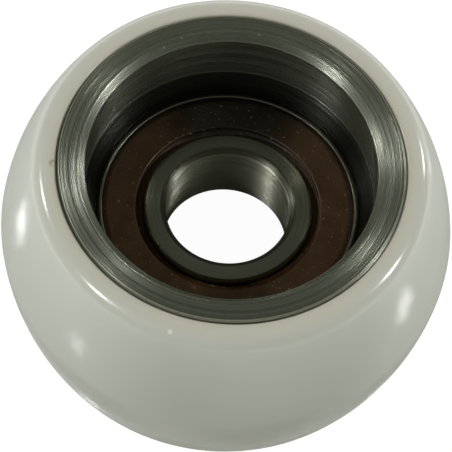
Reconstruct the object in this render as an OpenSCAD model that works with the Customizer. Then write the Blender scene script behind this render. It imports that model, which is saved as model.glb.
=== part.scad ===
// Ball-shaped door roller: a white nylon tyre on a turned steel sleeve, with a
// sealed deep-groove ball bearing pressed into the middle of the sleeve.
//
// Millimetres, +Z up along the axle. The origin is the centre of the bearing,
// which is also the centre of the whole roller: both ends are alike.
// Every section is drawn in the (radius, height) plane and turned about Z.

/* [Tyre] */
// Thickness on the sleeve at the crest, where the two flanks meet
tyre_wall = 6.4; // [6:0.2:9]
// Radius of each flank's long arc
flank_r = 41; // [37:1:55]
// How far past the middle plane each flank's arc is centred
flank_offset = 3.2; // [2:0.2:4.6]
// Radius that rounds the crest between the flanks
crest_r = 9; // [6:1:12]
// Radius of the shoulder between flank and end face
shoulder_r = 2.75; // [2:0.25:3]
// Relief that breaks the tyre's inner edges
tyre_relief = 0.25; // [0.15:0.05:0.4]

/* [Sleeve] */
// Width over both end faces
sleeve_w = 30; // [28.5:0.5:31.5]
// How far each end face stands proud of the tyre
sleeve_proud = 0.2; // [0.1:0.05:0.4]
// Wall round the recess at each end
sleeve_wall = 3.45; // [3:0.05:4.5]
// How far the recess stands back from the bearing's edge
recess_step = 1.55; // [1.2:0.05:2]
// Depth of the recess's straight wall and lead-in together
recess_wall = 7.6; // [6.5:0.1:8]
// Depth of the lead-in chamfer at the mouth
lead_in_depth = 0.65; // [0.4:0.05:1]
// How much wider than the recess the mouth is, on each side
lead_in_flare = 0.85; // [0.5:0.05:1.2]
// Chamfer on the sleeve's outer edges
sleeve_edge = 0.3; // [0.2:0.05:0.5]

/* [Bearing] */
// Bore for the axle
bore_d = 15; // [14:0.5:16]
// Outer diameter, which the sleeve and the tyre are built out from
bearing_d = 32; // [31:0.5:35]
// Width of both rings
bearing_w = 10; // [9:0.1:10.5]
// Rounding at the rings' corners
ring_round = 0.55; // [0.3:0.05:0.6]
// Wider rounding at the bore's edges, which leads the axle in
bore_round = 0.8; // [0.5:0.05:1]

/* [Balls and cage] */
// Diameter of each ball
ball_d = 4.76; // [4.5:0.02:5]
// Number of balls
ball_count = 9; // [7:1:10]
// Depth of the groove in each ring
groove_depth = 0.88; // [0.7:0.02:1]
// How much wider than the ball a groove's section is, as a ratio
conformity = 1.04; // [1.02:0.005:1.06]
// Thickness of the cage's pressed strip
strip_t = 0.4; // [0.3:0.05:0.45]
// Width of the cage's strip, across the ball circle
strip_w = 1.9; // [1.6:0.1:2.2]
// Diameter of a rivet's shank
rivet_d = 0.8; // [0.7:0.05:0.9]
// Diameter of a rivet's domed head
rivet_head_d = 1.3; // [1.2:0.05:1.5]
// Height of a rivet's domed head
rivet_head_h = 0.3; // [0.2:0.05:0.4]

/* [Seals] */
// Wall that the outer ring keeps outside the seal
seal_wall = 0.7; // [0.65:0.05:0.9]
// How deep the seal lies below the rings' faces
seal_sink = 0.35; // [0.3:0.05:0.4]
// Thickness of the seal's rim, where it is snapped in
seal_rim_t = 1.2; // [1.15:0.05:1.3]
// Width of that rim
seal_rim_w = 1; // [0.8:0.1:1.2]
// Thickness of the seal's disc
seal_disc_t = 0.6; // [0.55:0.05:0.65]
// Width of the slope between the disc and the rim
seal_slope_w = 0.6; // [0.4:0.05:0.7]
// How far that slope drops to the rim
seal_slope_drop = 0.4; // [0.3:0.05:0.45]
// Depth of the snap groove in the outer ring
snap_depth = 0.25; // [0.2:0.05:0.3]
// Open gap between the disc and the inner ring
seal_gap = 0.95; // [0.8:0.05:1.1]
// Thickness of the lip that closes that gap
lip_t = 0.3; // [0.25:0.05:0.4]
// How far the lip's tip drops below the disc
lip_drop = 0.4; // [0.35:0.05:0.45]

/* [Clearances] */
// Between a ball and each groove
ball_clear = 0.01; // [0.01:0.005:0.02]
// Between a ball and its pocket
pocket_clear = 0.08; // [0.05:0.01:0.12]
// Between a seal's lip and the inner ring
lip_clear = 0.05; // [0.03:0.01:0.08]
// Between a rivet and its hole
rivet_clear = 0.02; // [0.01:0.01:0.03]

/* [Hidden] */

// Colours
nylon_white = [0.90, 0.90, 0.87];
turned_steel = [0.58, 0.60, 0.57];
bearing_steel = [0.66, 0.67, 0.64];
seal_brown = [0.30, 0.17, 0.11];
strip_steel = [0.62, 0.60, 0.55];
ball_steel = [0.80, 0.81, 0.82];

// Facets used for previews of round shapes
$fn = 180;
small_fn = 64;
// Facets of the flanks' circles, of which only a short arc is used
flank_fn = 720;
// Reach of the cutting shapes past what they cut
past = 1;

// Sleeve and tyre
recess_r = bearing_d / 2 + recess_step;
sleeve_r = recess_r + sleeve_wall;
tyre_r = sleeve_r + tyre_wall;
tyre_w = sleeve_w - 2 * sleeve_proud;
crest_centre = tyre_r - crest_r;
flank_centre = crest_centre - sqrt(pow(flank_r - crest_r, 2) - pow(flank_offset, 2));
shoulder_z = tyre_w / 2 - shoulder_r;
shoulder_centre = flank_centre
    + sqrt(pow(flank_r - shoulder_r, 2) - pow(shoulder_z + flank_offset, 2));

// Bearing
bearing_half = bearing_w / 2;
ball_r = ball_d / 2;
pitch_r = (bore_d + bearing_d) / 4;
groove_r = ball_r * conformity;
inner_groove_r = pitch_r - ball_r - ball_clear;
outer_groove_r = pitch_r + ball_r + ball_clear;
inner_land_r = inner_groove_r + groove_depth;
outer_land_r = outer_groove_r - groove_depth;

// Seals, with heights measured from the middle of the bearing
seal_outer_r = bearing_d / 2 - seal_wall;
seal_top_z = bearing_half - seal_sink;
seal_seat_z = seal_top_z - seal_rim_t;
rim_top_z = seal_top_z - seal_slope_drop;
disc_under_z = seal_top_z - seal_disc_t;
disc_inner_r = inner_land_r + seal_gap;
lip_tip_r = inner_land_r + lip_clear;
lip_tip_z = disc_under_z - lip_drop;
rim_inner_r = seal_outer_r - seal_rim_w;

// Cage
pocket_r = ball_r + pocket_clear;
ball_step = 360 / ball_count;

// Name of ball i, such as ball_03
function ball_name(i) = str("ball_", i < 10 ? "0" : "", i);

// Angle of ball i round the axle
function ball_angle(i) = (i - 1) * ball_step;

// Point at distance d from c, on the line from c through p
function beyond(c, p, d) = c + (p - c) * d / norm(p - c);

// Turns a section, drawn at positive radius, about the axle
module turned() rotate_extrude() children();

// Draws children and their mirror image in the middle plane
module both_ends() {
    children();
    mirror([0, 1]) children();
}

// What a rounding of radius r about centre c takes off a corner that lies
// between the directions of points a and b
module outside_round(c, r, a, b) {
    reach = r + past;
    difference() {
        polygon([c, beyond(c, a, reach), beyond(c, (a + b) / 2, 2 * reach), beyond(c, b, reach)]);
        translate(c) circle(r);
    }
}

// A ring's section with its corners rounded, by round_in inside and by
// round_out outside
module rounded_section(r_in, r_out, half, round_in, round_out) {
    flat_in = r_in + round_in;
    flat_out = r_out - round_out;
    translate([flat_in, -half]) square([flat_out - flat_in, 2 * half]);
    translate([r_in, round_in - half]) square([flat_out - r_in, 2 * (half - round_in)]);
    translate([flat_in, round_out - half]) square([r_out - flat_in, 2 * (half - round_out)]);
    both_ends() {
        translate([flat_in, half - round_in]) circle(round_in, $fn = small_fn);
        translate([flat_out, half - round_out]) circle(round_out, $fn = small_fn);
    }
}

// White nylon tyre: two long arcs that meet in a blunt crest, rounded
// shoulders, and flat end faces just short of the sleeve's
module tyre() {
    crest_c = [crest_centre, 0];
    flank_c = [flank_centre, -flank_offset];
    shoulder_c = [shoulder_centre, shoulder_z];
    crest_tangent = beyond(flank_c, crest_c, flank_r);
    shoulder_tangent = beyond(flank_c, shoulder_c, flank_r);
    relief_corner = [sleeve_r, tyre_w / 2];
    color(nylon_white) turned() difference() {
        intersection() {
            translate([sleeve_r, -tyre_w / 2]) square([tyre_r, tyre_w]);
            flank_lens(flank_c);
        }
        outside_round(crest_c, crest_r, crest_tangent, [crest_tangent.x, -crest_tangent.y]);
        both_ends() {
            outside_round(shoulder_c, shoulder_r, shoulder_tangent,
                shoulder_c + [0, shoulder_r]);
            polygon([relief_corner - [0, tyre_relief], relief_corner + [tyre_relief, 0],
                relief_corner + [tyre_relief, past], relief_corner + [-past, past],
                relief_corner - [past, tyre_relief]]);
        }
    }
}

// The lens between the upper flank's circle, centred at c, and its mirror image
module flank_lens(c) {
    intersection() {
        translate(c) circle(flank_r, $fn = flank_fn);
        mirror([0, 1]) translate(c) circle(flank_r, $fn = flank_fn);
    }
}

// Turned steel sleeve: the bearing's seat in the middle, and at each end a
// cone, a straight-walled recess and a lead-in chamfer
module sleeve() {
    half = sleeve_w / 2;
    end_outline = [
        [bearing_d / 2, bearing_half],
        [recess_r, half - recess_wall],
        [recess_r, half - lead_in_depth],
        [recess_r + lead_in_flare, half],
        [sleeve_r - sleeve_edge, half],
        [sleeve_r, half - sleeve_edge]];
    color(turned_steel) turned() polygon(concat(
        end_outline,
        [for (i = [len(end_outline) - 1:-1:0]) [end_outline[i].x, -end_outline[i].y]]));
}

// Outer ring: ball groove inside, and a snap groove for a seal at each end
module outer_ring() {
    color(bearing_steel) turned() difference() {
        rounded_section(outer_land_r, bearing_d / 2, bearing_half, ring_round, ring_round);
        translate([outer_groove_r - groove_r, 0]) circle(groove_r);
        both_ends() seal_seat();
    }
}

// What each seal takes out of the outer ring's end
module seal_seat() {
    polygon([
        [outer_land_r - past, seal_seat_z],
        [seal_outer_r, seal_seat_z],
        [seal_outer_r + snap_depth, seal_seat_z + snap_depth],
        [seal_outer_r + snap_depth, rim_top_z - snap_depth],
        [seal_outer_r, rim_top_z],
        [seal_outer_r, bearing_half + past],
        [outer_land_r - past, bearing_half + past]]);
}

// Inner ring: axle bore with rounded edges, ball groove outside
module inner_ring() {
    color(bearing_steel) turned() difference() {
        rounded_section(bore_d / 2, inner_land_r, bearing_half, bore_round, ring_round);
        translate([inner_groove_r + groove_r, 0]) circle(groove_r);
    }
}

// Moulded rubber seal: a rim snapped into the outer ring, a slope up to the
// disc, and a lip that slopes down to the inner ring
module seal() {
    color(seal_brown) turned() polygon([
        [rim_inner_r, seal_seat_z],
        [seal_outer_r, seal_seat_z],
        [seal_outer_r + snap_depth, seal_seat_z + snap_depth],
        [seal_outer_r + snap_depth, rim_top_z - snap_depth],
        [seal_outer_r, rim_top_z],
        [seal_outer_r - seal_slope_w, seal_top_z],
        [disc_inner_r, seal_top_z],
        [disc_inner_r, disc_under_z],
        [lip_tip_r, lip_tip_z + lip_t],
        [lip_tip_r, lip_tip_z],
        [disc_inner_r + lip_t, disc_under_z - lip_t],
        [disc_inner_r + 2 * lip_t, disc_under_z],
        [rim_inner_r - (disc_under_z - seal_seat_z), disc_under_z]]);
}

// Places children at every ball
module at_balls() {
    for (i = [1:ball_count])
        rotate(ball_angle(i)) translate([pitch_r, 0, 0]) children();
}

// Places children midway between neighbouring balls
module at_webs() {
    rotate(ball_step / 2) at_balls() children();
}

// One half of the pressed ribbon cage: a round pocket over every ball and a
// flat web between each two, drilled for a rivet
module cage_half() {
    color(strip_steel) difference() {
        intersection() {
            turned() translate([pitch_r - strip_w / 2, 0])
                square([strip_w, pocket_r + strip_t]);
            union() {
                cylinder(r = pitch_r + strip_w, h = strip_t);
                at_balls() sphere(pocket_r + strip_t, $fn = small_fn);
            }
        }
        at_balls() sphere(pocket_r, $fn = small_fn);
        at_webs() cylinder(d = rivet_d + 2 * rivet_clear, h = 2 * past, center = true,
            $fn = small_fn);
    }
}

// Rivets that clench the two halves, with a domed head on each side
module cage_rivets() {
    head_r = (pow(rivet_head_d / 2, 2) + pow(rivet_head_h, 2)) / (2 * rivet_head_h);
    color(strip_steel) at_webs() {
        cylinder(d = rivet_d, h = 2 * strip_t, center = true, $fn = small_fn);
        for (side = [0, 1])
            mirror([0, 0, side]) translate([0, 0, strip_t]) intersection() {
                translate([0, 0, rivet_head_h - head_r]) sphere(head_r, $fn = small_fn);
                cylinder(d = rivet_head_d, h = rivet_head_h, $fn = small_fn);
            }
    }
}

// Ball i, in its pocket
module ball(i) {
    color(ball_steel) rotate(ball_angle(i)) translate([pitch_r, 0, 0])
        sphere(ball_r, $fn = small_fn);
}

tyre();
sleeve();
outer_ring();
inner_ring();
seal();  // seal_upper
mirror([0, 0, 1]) seal();  // seal_lower
cage_half();  // cage_upper
mirror([0, 0, 1]) cage_half();  // cage_lower
cage_rivets();
for (i = [1:ball_count])
    ball(i);
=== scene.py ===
"""Looks of a ball-shaped door roller: a nylon tyre, a turned steel sleeve and a sealed ball bearing.

Metres. The axle runs along Z and the middle of the bearing is the origin. Every turned piece is
drawn as an outline at y = 0, from the middle plane up, then mirrored and turned about the axle.
"""

import math

import bmesh
import bpy
from mathutils import Matrix, Vector


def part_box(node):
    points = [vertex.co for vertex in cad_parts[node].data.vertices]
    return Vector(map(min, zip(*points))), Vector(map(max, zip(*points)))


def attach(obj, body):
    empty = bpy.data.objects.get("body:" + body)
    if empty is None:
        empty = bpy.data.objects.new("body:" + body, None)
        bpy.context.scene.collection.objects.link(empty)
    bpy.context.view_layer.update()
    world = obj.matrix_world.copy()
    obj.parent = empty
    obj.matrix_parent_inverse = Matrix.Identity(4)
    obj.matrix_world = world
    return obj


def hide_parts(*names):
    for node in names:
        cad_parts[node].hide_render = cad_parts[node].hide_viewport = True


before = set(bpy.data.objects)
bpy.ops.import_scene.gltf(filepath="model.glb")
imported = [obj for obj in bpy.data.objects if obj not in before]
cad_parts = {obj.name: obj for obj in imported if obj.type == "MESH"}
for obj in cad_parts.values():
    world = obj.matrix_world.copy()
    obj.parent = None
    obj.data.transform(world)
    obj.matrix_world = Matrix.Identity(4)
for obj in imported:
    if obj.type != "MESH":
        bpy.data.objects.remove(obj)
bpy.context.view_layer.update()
MM = 0.001

# ======================================================================================= Tyre
# One moulding of natural white nylon, shrunk onto the sleeve. Two long flank arcs meet in a
# blunt crest that runs in the track. The nylon is milky, so light spreads a little inside it,
# and rolling has left fine lines round it.
sleeve_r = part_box("sleeve")[1].x
tyre_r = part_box("tyre")[1].x
tyre_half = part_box("tyre")[1].z
flank_r = 41 * MM
flank_offset = 3.2 * MM
crest_r = 9 * MM
shoulder_r = 2.75 * MM
tyre_relief = 0.25 * MM
nylon_thin = (0.71, 0.725, 0.665)
nylon_thick = (0.75, 0.765, 0.71)
nylon_by_sleeve = (0.68, 0.655, 0.55)
nick_at = (-5.31, -22.62, 14.29)
nick_colour = (0.92, 0.92, 0.88)
fibre_at = (-21.27, -1.88, 14.8)
fibre_hollow_at = (-21.07, -1.98, 14.8)
fibre_colour = (0.42, 0.40, 0.33)


def new_outline(r, z):
    """An empty mesh with the first point of an outline."""
    outline = bmesh.new()
    outline.verts.new((r, 0, z))
    outline.verts.ensure_lookup_table()
    return outline


def line_to(outline, r, z):
    """Carries the outline on in a straight line."""
    outline.verts.ensure_lookup_table()
    made = bmesh.ops.extrude_vert_indiv(outline, verts=[outline.verts[-1]])
    made["verts"][0].co = (r, 0, z)


def arc_round(outline, centre, sweep, steps):
    """Carries the outline on along an arc about centre. A positive sweep leads from +Z to +X."""
    outline.verts.ensure_lookup_table()
    bmesh.ops.spin(outline, geom=[outline.verts[-1]], cent=(centre[0], 0, centre[1]),
                   axis=(0, 1, 0), angle=sweep, steps=steps)


def turn(outline, steps=360, mirrored=True):
    """Turns an outline about the axle into a closed solid, with its mirror image if it has one."""
    if mirrored:
        bmesh.ops.mirror(outline, geom=outline.verts[:] + outline.edges[:], merge_dist=1e-7, axis="Z")
    else:
        outline.verts.ensure_lookup_table()
        outline.edges.new((outline.verts[-1], outline.verts[0]))
    bmesh.ops.spin(outline, geom=outline.verts[:] + outline.edges[:], cent=(0, 0, 0),
                   axis=(0, 0, 1), angle=2 * math.pi, steps=steps, use_merge=True)
    bmesh.ops.remove_doubles(outline, verts=outline.verts[:], dist=1e-7)
    bmesh.ops.recalc_face_normals(outline, faces=outline.faces[:])
    return outline


def ease(solid, r, z, width, segments=3):
    """Rounds off a turned solid's edge circle at radius r and height z, at both ends."""
    def on_circle(vert):
        return abs(math.hypot(vert.co.x, vert.co.y) - r) < 0.01 * MM and abs(abs(vert.co.z) - z) < 0.01 * MM
    edges = [edge for edge in solid.edges if on_circle(edge.verts[0]) and on_circle(edge.verts[1])]
    bmesh.ops.bevel(solid, geom=edges, offset=width, segments=segments, profile=0.5,
                    affect="EDGES", material=-1)


def finished(name, solid, material):
    """Makes the solid an object whose flat faces stay flat beside their rounded edges."""
    mesh = bpy.data.meshes.new(name)
    solid.to_mesh(mesh)
    solid.free()
    mesh.shade_smooth()
    piece = bpy.data.objects.new(name, mesh)
    bpy.context.scene.collection.objects.link(piece)
    piece.modifiers.new("flat faces", "WEIGHTED_NORMAL").weight = 100
    shown = piece.evaluated_get(bpy.context.evaluated_depsgraph_get())
    piece.data = bpy.data.meshes.new_from_object(shown)
    piece.modifiers.clear()
    bpy.data.meshes.remove(mesh)
    piece.data.name = name
    piece.data.materials.clear()
    piece.data.materials.append(material)
    return piece


def nodes_of(tree, *kinds):
    """New nodes of those kinds in a node tree, in order."""
    return [tree.nodes.new("ShaderNode" + kind) for kind in kinds]


def maths(tree, operation, *values):
    """A maths node's output. Each value is a number or another node's output."""
    node = tree.nodes.new("ShaderNodeMath")
    node.operation = operation
    for socket, value in zip(node.inputs, values):
        if isinstance(value, (int, float)):
            socket.default_value = value
        else:
            tree.links.new(value, socket)
    return node.outputs[0]


def ramp(tree, value, low, high, to_low=0.0, to_high=1.0):
    """A value carried from low..high to to_low..to_high, smoothly and held at its ends."""
    node = tree.nodes.new("ShaderNodeMapRange")
    node.interpolation_type = "SMOOTHSTEP"
    for socket, number in zip(node.inputs[1:5], (low, high, to_low, to_high)):
        socket.default_value = number
    tree.links.new(value, node.inputs[0])
    return node.outputs[0]


def mixed(tree, mask, first, second):
    """A colour between first, where the mask is 0, and second, where it is 1."""
    node = tree.nodes.new("ShaderNodeMix")
    node.data_type = "RGBA"
    tree.links.new(mask, node.inputs[0])
    for socket, colour in ((node.inputs[6], first), (node.inputs[7], second)):
        if isinstance(colour, tuple):
            socket.default_value = (*colour, 1)
        else:
            tree.links.new(colour, socket)
    return node.outputs[2]


def new_material(name):
    """A material with one Principled BSDF, and that shader."""
    material = bpy.data.materials.new(name)
    material.use_nodes = True
    return material, material.node_tree, material.node_tree.nodes["Principled BSDF"]


def group_with(name, inputs, outputs):
    """An empty shader node group with number inputs and outputs, and its two end nodes."""
    group = bpy.data.node_groups.new(name, "ShaderNodeTree")
    for label, value in inputs.items():
        group.interface.new_socket(label, in_out="INPUT", socket_type="NodeSocketFloat").default_value = value
    for label in outputs:
        group.interface.new_socket(label, in_out="OUTPUT", socket_type="NodeSocketFloat")
    return group, group.nodes.new("NodeGroupInput"), group.nodes.new("NodeGroupOutput")


def place(tree, group, **values):
    """A copy of a node group in a material, with its own values."""
    node = tree.nodes.new("ShaderNodeGroup")
    node.node_tree = group
    for label, value in values.items():
        node.inputs[label.replace("_", " ")].default_value = value
    return node


def off_axle(tree, x, y):
    """A point's distance from the axle."""
    squares = [maths(tree, "MULTIPLY", part, part) for part in (x, y)]
    return maths(tree, "SQRT", maths(tree, "ADD", *squares))


def round_the_axle():
    """Group: the radius and height of a point, and noise drawn out into lines round the axle."""
    group, given, result = group_with(
        "lines round the axle",
        {"Lines per metre": 5000.0, "Breaks": 3.0, "Detail": 3.0},
        ("Radius", "Height", "Lines"))
    where, split, direction, spread = nodes_of(group, "TexCoord", "SeparateXYZ", "CombineXYZ", "TexNoise")
    group.links.new(where.outputs["Object"], split.inputs[0])
    x, y, z = split.outputs
    radius = off_axle(group, x, y)
    safe_radius = maths(group, "MAXIMUM", radius, 1e-5)
    rise_share = 1.37
    along = maths(group, "ADD", radius, maths(group, "MULTIPLY", z, rise_share))
    breaks = given.outputs["Breaks"]
    for socket, part in zip(direction.inputs, (x, y)):
        group.links.new(maths(group, "MULTIPLY", maths(group, "DIVIDE", part, safe_radius), breaks), socket)
    group.links.new(maths(group, "MULTIPLY", along, given.outputs["Lines per metre"]), direction.inputs[2])
    group.links.new(direction.outputs[0], spread.inputs["Vector"])
    spread.inputs["Scale"].default_value = 1.0
    group.links.new(given.outputs["Detail"], spread.inputs["Detail"])
    for label, value in (("Radius", radius), ("Height", z), ("Lines", spread.outputs[0])):
        group.links.new(value, result.inputs[label])
    return group


axle_lines = round_the_axle()


def spot(tree, centre, size):
    """A mask: 1 within size of a point given in millimetres, fading to 0 at twice that."""
    where, away = nodes_of(tree, "TexCoord", "VectorMath")
    away.operation = "DISTANCE"
    tree.links.new(where.outputs["Object"], away.inputs[0])
    away.inputs[1].default_value = Vector(centre) * MM
    return ramp(tree, away.outputs["Value"], size, 2 * size, 1.0, 0.0)


def nylon():
    """Milky white nylon: darker and yellower beside the sleeve, finely lined and mottled, with a nick and a
    fibre.
    """
    material, tree, shader = new_material("white nylon")
    lines = place(tree, axle_lines, Lines_per_metre=3500.0, Breaks=2.0, Detail=4.0)
    where, mottle, bump = nodes_of(tree, "TexCoord", "TexNoise", "Bump")
    tree.links.new(where.outputs["Object"], mottle.inputs["Vector"])
    mottle.inputs["Scale"].default_value = 140.0
    mottle.inputs["Detail"].default_value = 3.0
    # The nylon is coloured darker and yellower within a few millimetres of the sleeve.
    by_sleeve = ramp(tree, lines.outputs["Radius"], sleeve_r, sleeve_r + 3.2 * MM, 1.0, 0.0)
    body = mixed(tree, mottle.outputs[0], nylon_thin, nylon_thick)
    darker_by_sleeve = mixed(tree, by_sleeve, body, nylon_by_sleeve)
    nicked = mixed(tree, spot(tree, nick_at, 0.2 * MM), darker_by_sleeve, nick_colour)
    fibre = maths(tree, "MULTIPLY", spot(tree, fibre_at, 0.3 * MM),
                  maths(tree, "SUBTRACT", 1.0, spot(tree, fibre_hollow_at, 0.22 * MM)))
    tree.links.new(mixed(tree, fibre, nicked, fibre_colour), shader.inputs["Base Color"])
    tree.links.new(ramp(tree, lines.outputs["Lines"], 0.3, 0.7, 0.14, 0.23), shader.inputs["Roughness"])
    height = maths(tree, "ADD", lines.outputs["Lines"], maths(tree, "MULTIPLY", mottle.outputs[0], 0.6))
    tree.links.new(height, bump.inputs["Height"])
    bump.inputs["Distance"].default_value = 0.012 * MM
    bump.inputs["Strength"].default_value = 0.45
    tree.links.new(bump.outputs[0], shader.inputs["Normal"])
    shader.inputs["IOR"].default_value = 1.5
    shader.inputs["Subsurface Weight"].default_value = 0.35
    shader.inputs["Subsurface Radius"].default_value = (1.0, 0.95, 0.8)
    shader.inputs["Subsurface Scale"].default_value = 2.5 * MM
    return material


crest_centre = tyre_r - crest_r
flank_centre = crest_centre - math.sqrt((flank_r - crest_r) ** 2 - flank_offset ** 2)
shoulder_z = tyre_half - shoulder_r
shoulder_centre = flank_centre + math.sqrt((flank_r - shoulder_r) ** 2 - (shoulder_z + flank_offset) ** 2)
shoulder_angle = math.atan2(shoulder_z + flank_offset, shoulder_centre - flank_centre)
crest_angle = math.atan2(flank_offset, crest_centre - flank_centre)

tyre = new_outline(sleeve_r, 0)
line_to(tyre, sleeve_r, tyre_half - tyre_relief)
line_to(tyre, sleeve_r + tyre_relief, tyre_half)
line_to(tyre, shoulder_centre, tyre_half)
arc_round(tyre, (shoulder_centre, shoulder_z), math.pi / 2 - shoulder_angle, 16)
arc_round(tyre, (flank_centre, -flank_offset), shoulder_angle - crest_angle, 20)
arc_round(tyre, (crest_centre, 0), crest_angle, 4)
tyre = turn(tyre)
ease(tyre, sleeve_r + tyre_relief, tyre_half, 0.08 * MM)
tyre = finished("nylon_tyre", tyre, nylon())
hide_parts("tyre")
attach(tyre, "root")

# ===================================================================================== Sleeve
# Turned from steel tube, both ends alike: a seat for the bearing, a cone, a straight recess and
# a lead-in chamfer. The lathe left fine rings on every face, and the mouth's lip has small burrs,
# with their glints painted in at one side. The cone is painted near-black, as painted shade.
bearing_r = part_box("outer_ring")[1].x
bearing_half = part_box("outer_ring")[1].z
sleeve_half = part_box("sleeve")[1].z
recess_r = bearing_r + 1.55 * MM
recess_depth = 7.6 * MM
lead_in_depth = 0.65 * MM
lead_in_flare = 0.85 * MM
sleeve_edge = 0.3 * MM
turned_dark = (0.22, 0.23, 0.185)
turned_bright = (0.35, 0.362, 0.31)
cone_shade_colour = (0.03, 0.03, 0.026)
burr_glint_colour = (0.75, 0.75, 0.70)
glinting_lip_at = (-9.2, -16.1, 15.0)
dust_colour = (0.75, 0.70, 0.60)
dust_at = ((-9.59, 15.47, 14.88), (-7.55, 16.98, 15.0), (1.68, 18.48, 15.0))


def ring_grooves():
    """Group: a normal tipped to and fro across fine rings that a tool left round the axle."""
    group, given, result = group_with(
        "tool rings",
        {"Lines per metre": 5000.0, "Breaks": 1.0, "Slope": 0.3, "Lean": 0.0},
        ("Lines",))
    group.interface.new_socket("Normal", in_out="OUTPUT", socket_type="NodeSocketVector")
    fine, coarse, where = nodes_of(group, "Group", "Group", "NewGeometry")
    coarse_share = 0.19
    noise_spread = 5.5
    steepest = 1.4
    for lines, share, detail in ((fine, 1.0, 3.0), (coarse, coarse_share, 0.0)):
        lines.node_tree = axle_lines
        lines.inputs["Detail"].default_value = detail
        group.links.new(maths(group, "MULTIPLY", given.outputs["Lines per metre"], share),
                        lines.inputs["Lines per metre"])
        group.links.new(given.outputs["Breaks"], lines.inputs["Breaks"])
    outward, around, along, unit, tipped, whole, facing = nodes_of(group, *["VectorMath"] * 7)
    steps = (
        (outward, "MULTIPLY", where.outputs["Position"], (1, 1, 0)),
        (around, "CROSS_PRODUCT", (0, 0, 1), outward.outputs[0]),
        (along, "CROSS_PRODUCT", where.outputs["Normal"], around.outputs[0]),
        (unit, "NORMALIZE", along.outputs[0], None),
        (tipped, "SCALE", unit.outputs[0], None),
        (whole, "ADD", where.outputs["Normal"], tipped.outputs[0]),
        (facing, "NORMALIZE", whole.outputs[0], None))
    for node, operation, *parts in steps:
        node.operation = operation
        for socket, part in zip(node.inputs, parts):
            if isinstance(part, tuple):
                socket.default_value = part
            elif part is not None:
                group.links.new(part, socket)
    spread = maths(group, "MULTIPLY", maths(group, "SUBTRACT", fine.outputs["Lines"], 0.5), noise_spread)
    bound = maths(group, "MAXIMUM", maths(group, "MINIMUM", spread, steepest), -steepest)
    uneven = ramp(group, coarse.outputs["Lines"], 0.3, 0.7, 0.75, 1.25)
    depth = maths(group, "MULTIPLY", given.outputs["Slope"], uneven)
    steep = maths(group, "MULTIPLY", maths(group, "TANGENT", bound), depth)
    group.links.new(maths(group, "SUBTRACT", steep, given.outputs["Lean"]), tipped.inputs["Scale"])
    group.links.new(coarse.outputs["Lines"], result.inputs["Lines"])
    group.links.new(facing.outputs[0], result.inputs["Normal"])
    return group


tool_rings = ring_grooves()


def turned_steel():
    """Bare turned steel, with painted shade in the cone and painted glints on one side of the lip. Its rings
    spread a lamp's light into streaks.
    """
    material, tree, shader = new_material("turned steel")
    rings = place(tree, tool_rings, Lines_per_metre=40000.0, Breaks=0.12, Slope=0.95, Lean=0.07)
    broad = place(tree, axle_lines, Lines_per_metre=900.0, Breaks=2.5, Detail=2.0)
    shade = maths(tree, "ADD", maths(tree, "MULTIPLY", rings.outputs["Lines"], 0.6),
                  maths(tree, "MULTIPLY", broad.outputs["Lines"], 0.4))
    bright = mixed(tree, shade, turned_dark, turned_bright)
    height = maths(tree, "ABSOLUTE", broad.outputs["Height"])
    # The cone at the foot of the recess is painted near-black: painted shade.
    cone_top = sleeve_half - recess_depth
    plain = mixed(tree, ramp(tree, height, cone_top - 0.15 * MM, cone_top, 1.0, 0.0), bright, cone_shade_colour)
    where, grit = nodes_of(tree, "TexCoord", "TexNoise")
    tree.links.new(where.outputs["Object"], grit.inputs["Vector"])
    grit.inputs["Scale"].default_value = 5500.0
    # Pale specks along one side of the lip's edge: real burrs, with their glints painted in as colour.
    beside = maths(tree, "SUBTRACT", broad.outputs["Radius"], recess_r + lead_in_flare)
    below = maths(tree, "SUBTRACT", sleeve_half, height)
    off_lip = maths(tree, "MAXIMUM", maths(tree, "ABSOLUTE", beside), below)
    glinting_lip = maths(tree, "MULTIPLY", ramp(tree, off_lip, 0.03 * MM, 0.16 * MM, 1.0, 0.0),
                     spot(tree, glinting_lip_at, 6 * MM))
    burr_glints = maths(tree, "MULTIPLY", glinting_lip, ramp(tree, grit.outputs[0], 0.5, 0.62, 0.0, 0.8))
    with_burr_glints = mixed(tree, burr_glints, plain, burr_glint_colour)
    dust = 0.0
    for centre in dust_at:
        dust = maths(tree, "MAXIMUM", spot(tree, centre, 0.09 * MM), dust)
    tree.links.new(mixed(tree, dust, with_burr_glints, dust_colour), shader.inputs["Base Color"])
    tree.links.new(ramp(tree, rings.outputs["Lines"], 0.3, 0.7, 0.25, 0.31), shader.inputs["Roughness"])
    tree.links.new(rings.outputs["Normal"], shader.inputs["Normal"])
    shader.inputs["Metallic"].default_value = 1.0
    return material


sleeve = new_outline(bearing_r, 0)
line_to(sleeve, bearing_r, bearing_half)
line_to(sleeve, recess_r, sleeve_half - recess_depth)
line_to(sleeve, recess_r, sleeve_half - lead_in_depth)
line_to(sleeve, recess_r + lead_in_flare, sleeve_half)
line_to(sleeve, sleeve_r - sleeve_edge, sleeve_half)
line_to(sleeve, sleeve_r, sleeve_half - sleeve_edge)
line_to(sleeve, sleeve_r, 0)
sleeve = turn(sleeve)
ease(sleeve, recess_r, sleeve_half - recess_depth, 0.15 * MM)
ease(sleeve, recess_r, sleeve_half - lead_in_depth, 0.08 * MM)
ease(sleeve, recess_r + lead_in_flare, sleeve_half, 0.08 * MM)
ease(sleeve, sleeve_r - sleeve_edge, sleeve_half, 0.06 * MM)
sleeve = finished("steel_sleeve", sleeve, turned_steel())
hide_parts("sleeve")
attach(sleeve, "root")
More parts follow.
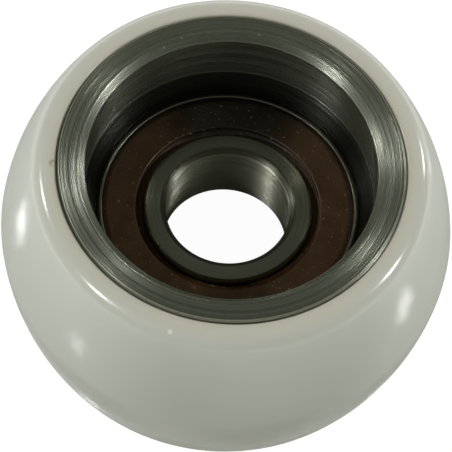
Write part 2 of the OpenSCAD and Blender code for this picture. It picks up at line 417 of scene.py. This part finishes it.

# ============================================================================== Bearing rings
# Both rings are hardened steel, ground all over, with painted shade on the rounding at each end
# of the bore. The outer one is pressed into the sleeve and has a snap groove for each seal. The
# balls run in a groove in the middle of each.
bore_r = 7.5 * MM
inner_land_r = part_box("inner_ring")[1].x
ring_round = 0.55 * MM
bore_round = 0.8 * MM
ground_dark = (0.23, 0.235, 0.185)
ground_bright = (0.32, 0.32, 0.26)
rounding_shade_colour = (0.05, 0.048, 0.036)
ball_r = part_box("ball_01")[1].z
ball_clear = 0.01 * MM
groove_r = ball_r * 1.04
groove_depth = 0.88 * MM
seal_wall = 0.7 * MM
seal_sink = 0.35 * MM
seal_rim_t = 1.2 * MM
seal_slope_w = 0.6 * MM
seal_slope_drop = 0.4 * MM
snap_depth = 0.25 * MM
inner_groove_r = inner_land_r - groove_depth
pitch_r = inner_groove_r + ball_r + ball_clear
outer_groove_r = pitch_r + ball_r + ball_clear
outer_land_r = outer_groove_r - groove_depth
seal_r = bearing_r - seal_wall
seal_top = bearing_half - seal_sink
seal_seat = seal_top - seal_rim_t
rim_top = seal_top - seal_slope_drop
groove_angle = math.acos((groove_r - groove_depth) / groove_r)


def ground_steel():
    """Ground bearing steel, finer than the sleeve, deepest and tipped upward in the bore, with painted shade
    on the bore's roundings.
    """
    material, tree, shader = new_material("ground steel")
    rings = place(tree, tool_rings, Lines_per_metre=60000.0, Breaks=0.12)
    radius = place(tree, axle_lines).outputs["Radius"]
    lean = ramp(tree, radius, bore_r, bore_r + 0.15 * MM, 0.8, 0.15)
    slope = ramp(tree, radius, bore_r, bore_r + 1.1 * MM, 0.8, 0.36)
    tree.links.new(lean, rings.inputs["Lean"])
    tree.links.new(slope, rings.inputs["Slope"])
    # The rounding at each end of the bore is painted near-black: painted shade.
    rounding_shade = maths(tree, "MULTIPLY", ramp(tree, radius, bore_r, bore_r + 0.12 * MM, 0.0, 0.75),
                   ramp(tree, radius, bore_r + 0.8 * bore_round, bore_r + bore_round, 1.0, 0.0))
    ground = mixed(tree, rings.outputs["Lines"], ground_dark, ground_bright)
    tree.links.new(mixed(tree, rounding_shade, ground, rounding_shade_colour), shader.inputs["Base Color"])
    tree.links.new(ramp(tree, rings.outputs["Lines"], 0.3, 0.7, 0.26, 0.34), shader.inputs["Roughness"])
    tree.links.new(rings.outputs["Normal"], shader.inputs["Normal"])
    shader.inputs["Metallic"].default_value = 1.0
    return material


ring_steel = ground_steel()

outer_ring = new_outline(outer_groove_r, 0)
arc_round(outer_ring, (outer_groove_r - groove_r, 0), -groove_angle, 12)
line_to(outer_ring, outer_land_r, seal_seat)
line_to(outer_ring, seal_r, seal_seat)
line_to(outer_ring, seal_r + snap_depth, seal_seat + snap_depth)
line_to(outer_ring, seal_r + snap_depth, rim_top - snap_depth)
line_to(outer_ring, seal_r, rim_top)
line_to(outer_ring, seal_r, bearing_half)
line_to(outer_ring, bearing_r - ring_round, bearing_half)
arc_round(outer_ring, (bearing_r - ring_round, bearing_half - ring_round), math.pi / 2, 8)
line_to(outer_ring, bearing_r, 0)
outer_ring = turn(outer_ring)
ease(outer_ring, seal_r, bearing_half, 0.08 * MM)
outer_ring = finished("bearing_outer_ring", outer_ring, ring_steel)
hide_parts("outer_ring")
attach(outer_ring, "root")

inner_ring = new_outline(inner_groove_r, 0)
arc_round(inner_ring, (inner_groove_r + groove_r, 0), groove_angle, 12)
line_to(inner_ring, inner_land_r, bearing_half - ring_round)
arc_round(inner_ring, (inner_land_r - ring_round, bearing_half - ring_round), -math.pi / 2, 8)
line_to(inner_ring, bore_r + bore_round, bearing_half)
arc_round(inner_ring, (bore_r + bore_round, bearing_half - bore_round), -math.pi / 2, 8)
line_to(inner_ring, bore_r, 0)
inner_ring = turn(inner_ring)
inner_ring = finished("bearing_inner_ring", inner_ring, ring_steel)
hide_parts("inner_ring")
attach(inner_ring, "inner")

# ====================================================================================== Seals
# Each seal is moulded in brown rubber: a rim snapped into the outer ring, a flat disc, and a
# thin lip that slopes down to the inner ring. Its shine is mottled, its glints are painted, and
# shade is painted on one side.
seal_rim_w = 1 * MM
seal_disc_t = 0.6 * MM
seal_gap = 0.95 * MM
lip_t = 0.3 * MM
lip_drop = 0.4 * MM
lip_clear = 0.05 * MM
rubber_dark = (0.040, 0.019, 0.007)
rubber_pale = (0.076, 0.038, 0.015)
seal_shade_at = (-0.5, 14.5, 4.6)
seal_shade_colour = (0.012, 0.009, 0.004)
glint_colour = (0.30, 0.25, 0.18)
disc_r = inner_land_r + seal_gap
disc_under = seal_top - seal_disc_t
lip_r = inner_land_r + lip_clear
lip_tip = disc_under - lip_drop


def seal_rubber():
    """Mottled brown rubber with painted glints and painted shade at one side."""
    material, tree, shader = new_material("brown rubber")
    where, patches, grain, bump = nodes_of(tree, "TexCoord", "TexNoise", "TexNoise", "Bump")
    for texture, scale, detail in ((patches, 420.0, 4.0), (grain, 2600.0, 3.0)):
        tree.links.new(where.outputs["Object"], texture.inputs["Vector"])
        texture.inputs["Scale"].default_value = scale
        texture.inputs["Detail"].default_value = detail
    body = mixed(tree, patches.outputs[0], rubber_dark, rubber_pale)
    # Painted shade: the rubber is darkened round a point on the far side.
    shaded_rubber = mixed(tree, spot(tree, seal_shade_at, 5.5 * MM), body, seal_shade_colour)
    # Painted glints: pale specks drawn from fine noise.
    glints = ramp(tree, grain.outputs[0], 0.64, 0.74, 0.0, 0.7)
    tree.links.new(mixed(tree, glints, shaded_rubber, glint_colour), shader.inputs["Base Color"])
    tree.links.new(ramp(tree, patches.outputs[0], 0.35, 0.65, 0.30, 0.55), shader.inputs["Roughness"])
    tree.links.new(maths(tree, "ADD", patches.outputs[0], maths(tree, "MULTIPLY", grain.outputs[0], 0.4)),
                   bump.inputs["Height"])
    bump.inputs["Distance"].default_value = 0.05 * MM
    bump.inputs["Strength"].default_value = 0.5
    tree.links.new(bump.outputs[0], shader.inputs["Normal"])
    shader.inputs["Specular IOR Level"].default_value = 0.35
    return material


rubber = seal_rubber()
for seal_name, side in (("seal_upper", 1), ("seal_lower", -1)):
    seal = new_outline(seal_r - seal_rim_w, seal_seat)
    line_to(seal, seal_r, seal_seat)
    line_to(seal, seal_r + snap_depth, seal_seat + snap_depth)
    line_to(seal, seal_r + snap_depth, rim_top - snap_depth)
    line_to(seal, seal_r, rim_top)
    line_to(seal, seal_r - seal_slope_w, seal_top)
    line_to(seal, disc_r, seal_top)
    line_to(seal, disc_r, disc_under)
    line_to(seal, lip_r, lip_tip + lip_t)
    line_to(seal, lip_r, lip_tip)
    line_to(seal, disc_r + lip_t, disc_under - lip_t)
    line_to(seal, disc_r + 2 * lip_t, disc_under)
    line_to(seal, seal_r - seal_rim_w - (disc_under - seal_seat), disc_under)
    bmesh.ops.scale(seal, vec=(1, 1, side), verts=seal.verts[:])
    seal = turn(seal, mirrored=False)
    ease(seal, disc_r, seal_top, 0.2 * MM)
    ease(seal, seal_r - seal_slope_w, seal_top, 0.15 * MM)
    ease(seal, lip_r, lip_tip + lip_t, 0.08 * MM)
    seal = finished("rubber_" + seal_name, seal, rubber)
    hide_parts(seal_name)
    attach(seal, "root")

# ============================================================================= Balls and cage
# Nine hardened, lapped balls run between the rings. The two halves of the cage are pressed from
# steel strip and clenched together by a rivet between each two balls, over a film of grease.


def lapped_steel():
    """Mirror-bright ball steel with a breath of oil."""
    material, tree, shader = new_material("lapped steel")
    where, film = nodes_of(tree, "TexCoord", "TexNoise")
    tree.links.new(where.outputs["Object"], film.inputs["Vector"])
    film.inputs["Scale"].default_value = 900.0
    body = mixed(tree, film.outputs[0], (0.70, 0.70, 0.68), (0.78, 0.78, 0.77))
    tree.links.new(body, shader.inputs["Base Color"])
    tree.links.new(ramp(tree, film.outputs[0], 0.35, 0.7, 0.05, 0.14), shader.inputs["Roughness"])
    shader.inputs["Metallic"].default_value = 1.0
    return material


def pressed_steel():
    """Dull pressed strip, tinted by its film of grease."""
    material, tree, shader = new_material("pressed strip")
    where, film, bump = nodes_of(tree, "TexCoord", "TexNoise", "Bump")
    tree.links.new(where.outputs["Object"], film.inputs["Vector"])
    film.inputs["Scale"].default_value = 1500.0
    film.inputs["Detail"].default_value = 5.0
    body = mixed(tree, film.outputs[0], (0.42, 0.38, 0.30), (0.58, 0.55, 0.47))
    tree.links.new(body, shader.inputs["Base Color"])
    tree.links.new(ramp(tree, film.outputs[0], 0.3, 0.7, 0.28, 0.5), shader.inputs["Roughness"])
    tree.links.new(film.outputs[0], bump.inputs["Height"])
    bump.inputs["Distance"].default_value = 0.01 * MM
    tree.links.new(bump.outputs[0], shader.inputs["Normal"])
    shader.inputs["Metallic"].default_value = 1.0
    return material


ball_material = lapped_steel()
cage_material = pressed_steel()
for name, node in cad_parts.items():
    if name.startswith("ball_"):
        node.material_slots[0].material = ball_material
    elif name.startswith("cage_"):
        node.material_slots[0].material = cage_material

# ====================================================================================== Studio
# The roller stands on its end on a pale, faintly glossy table. Four soft lamps stand round it
# under a dim ceiling, with a paler wall round the room.
floor_z = -sleeve_half - 0.02 * MM
floor_reach = 6.0
room_ceiling = 0.12
room_wall = 0.55
floor_glow = 0.97
# Glossy rays see a painted shadow on the table round the roller, fading out further off.
painted_shadow_r = 0.8 * sleeve_r
painted_shadow_fade_r = 9 * sleeve_r


def table_top():
    """White to the eye. Shiny things see a painted shadow on it close round the roller, and white far off."""
    material = bpy.data.materials.new("table")
    material.use_nodes = True
    tree = material.node_tree
    tree.nodes.clear()
    path, where, split, glow, lit, plain, mirror = nodes_of(
        tree, "LightPath", "TexCoord", "SeparateXYZ", "Emission", "BsdfDiffuse", "BsdfDiffuse", "BsdfGlossy")
    add_lit, add_mirror, choose, pick_mirror, result = nodes_of(
        tree, "AddShader", "AddShader", "MixShader", "MixShader", "OutputMaterial")
    tree.links.new(where.outputs["Object"], split.inputs[0])
    x, y, _ = split.outputs
    past_painted_shadow = ramp(tree, off_axle(tree, x, y), painted_shadow_r, painted_shadow_fade_r)
    seen = path.outputs["Is Camera Ray"]
    mirrored = maths(tree, "MAXIMUM", path.outputs["Is Glossy Ray"], path.outputs["Is Transmission Ray"])
    shown = maths(tree, "MAXIMUM", seen, mirrored)
    brightness = maths(tree, "MULTIPLY", floor_glow, maths(tree, "MAXIMUM", seen, past_painted_shadow))
    tree.links.new(brightness, glow.inputs["Strength"])
    tree.links.new(maths(tree, "ADD", maths(tree, "MULTIPLY", mirrored, 0.4), 0.12), lit.inputs["Color"])
    plain.inputs["Color"].default_value = (0.4, 0.4, 0.37, 1)
    mirror.inputs["Color"].default_value = (0.95, 0.95, 0.95, 1)
    mirror.inputs["Roughness"].default_value = 0.05
    tree.links.new(glow.outputs[0], add_lit.inputs[0])
    tree.links.new(lit.outputs[0], add_lit.inputs[1])
    tree.links.new(add_lit.outputs[0], add_mirror.inputs[0])
    tree.links.new(mirror.outputs[0], add_mirror.inputs[1])
    tree.links.new(mirrored, pick_mirror.inputs[0])
    tree.links.new(add_lit.outputs[0], pick_mirror.inputs[1])
    tree.links.new(add_mirror.outputs[0], pick_mirror.inputs[2])
    tree.links.new(shown, choose.inputs[0])
    tree.links.new(plain.outputs[0], choose.inputs[1])
    tree.links.new(pick_mirror.outputs[0], choose.inputs[2])
    tree.links.new(choose.outputs[0], result.inputs["Surface"])
    return material


table = bmesh.new()
bmesh.ops.create_grid(table, x_segments=1, y_segments=1, size=floor_reach / 2,
                      matrix=Matrix.Translation((0, 0, floor_z)))
table_mesh = bpy.data.meshes.new("table")
table.to_mesh(table_mesh)
table.free()
table_mesh.materials.append(table_top())
table = bpy.data.objects.new("table", table_mesh)
bpy.context.scene.collection.objects.link(table)

world = bpy.data.worlds.new("room")
world.use_nodes = True
bpy.context.scene.world = world
room = world.node_tree
where, split = nodes_of(room, "TexCoord", "SeparateXYZ")
room.links.new(where.outputs["Generated"], split.inputs[0])
height = ramp(room, split.outputs[2], 0.05, 0.6, room_wall, room_ceiling)
room.links.new(height, room.nodes["Background"].inputs["Strength"])
room.nodes["Background"].inputs["Color"].default_value = (0.96, 1.0, 0.84, 1)

# Each lamp: azimuth and elevation in degrees, width across in metres, power in watts
lamps = {
    "left front": (-150, 38, 0.06, 1.75),
    "right": (0, 34, 0.1, 1.85),
    "left back": (161, 37, 0.1, 1.3),
    "right back": (39, 19, 0.08, 0.9),
}
lamp_distance = 0.8
for name, (azimuth, elevation, width, power) in lamps.items():
    data = bpy.data.lights.new(name, "AREA")
    data.shape = "DISK"
    data.size = width
    data.energy = power
    lamp = bpy.data.objects.new(name, data)
    bpy.context.scene.collection.objects.link(lamp)
    towards = Vector((math.cos(math.radians(azimuth)) * math.cos(math.radians(elevation)),
                      math.sin(math.radians(azimuth)) * math.cos(math.radians(elevation)),
                      math.sin(math.radians(elevation))))
    lamp.location = lamp_distance * towards
    lamp.rotation_euler = towards.to_track_quat("Z", "Y").to_euler()

# Camera: looks down at the middle of the roller through a long lens, tipped a little
camera_distance = 0.60958
camera_elevation = math.radians(61.378)
camera_roll = math.radians(5.685)
camera_lens = 398.2
camera_data = bpy.data.cameras.new("camera")
camera_data.lens = camera_lens
camera = bpy.data.objects.new("camera", camera_data)
bpy.context.scene.collection.objects.link(camera)
camera.matrix_world = (
    Matrix.Translation((0, -camera_distance * math.cos(camera_elevation),
                        camera_distance * math.sin(camera_elevation)))
    @ Matrix.Rotation(math.pi / 2 - camera_elevation, 4, "X")
    @ Matrix.Rotation(camera_roll, 4, "Z"))
bpy.context.scene.camera = camera
bpy.context.scene.view_settings.view_transform = "Standard"
